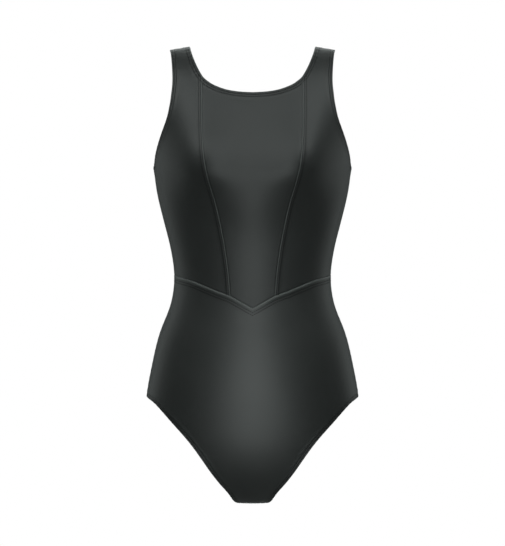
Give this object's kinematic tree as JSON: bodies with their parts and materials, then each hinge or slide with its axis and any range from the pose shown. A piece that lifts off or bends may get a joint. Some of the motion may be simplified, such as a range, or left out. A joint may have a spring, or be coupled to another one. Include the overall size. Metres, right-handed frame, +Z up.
{
  "type": "gymnastics leotard",
  "caption": "Sleeveless stretch leotard with princess seams, a pointed waist seam, a deep V back with a gathered point, and high-cut legs, in its worn shape.",
  "frame": {"origin": "bottom centre of the bounding box, which is under the crotch", "axes": "+Z up the body, front of the garment towards -Y, the wearer's left side is +X"},
  "size_m": [0.3074, 0.2244, 0.664],
  "materials": {
    "shell_fabric": "satin nylon and elastane tricot, charcoal",
    "lining_fabric": "matt fine tricot, near black",
    "elastic": "matt rubber tape, dark grey",
    "thread": "textured polyester thread, black"
  },
  "bodies": {
    "root": {"front_center_panel": "shell_fabric", "front_side_panel_left": "shell_fabric", "front_side_panel_right": "shell_fabric", "front_brief_panel": "shell_fabric", "back_panel": "shell_fabric", "front_bodice_lining": "lining_fabric", "crotch_lining": "lining_fabric", "neck_elastic": "elastic", "armhole_elastic_left": "elastic", "armhole_elastic_right": "elastic", "leg_elastic_left": "elastic", "leg_elastic_right": "elastic", "back_pinch_elastic": "elastic", "shoulder_seam_left": "thread", "shoulder_seam_right": "thread", "side_seam_left": "thread", "side_seam_right": "thread", "princess_seam_left": "thread", "princess_seam_right": "thread", "waist_seam": "thread", "crotch_seam": "thread", "neck_topstitch": "thread", "armhole_topstitch_left": "thread", "armhole_topstitch_right": "thread", "leg_topstitch_left": "thread", "leg_topstitch_right": "thread", "princess_topstitch_left": "thread", "princess_topstitch_right": "thread", "waist_topstitch": "thread", "back_pinch_bartack": "thread"}
  },
  "joints": []
}
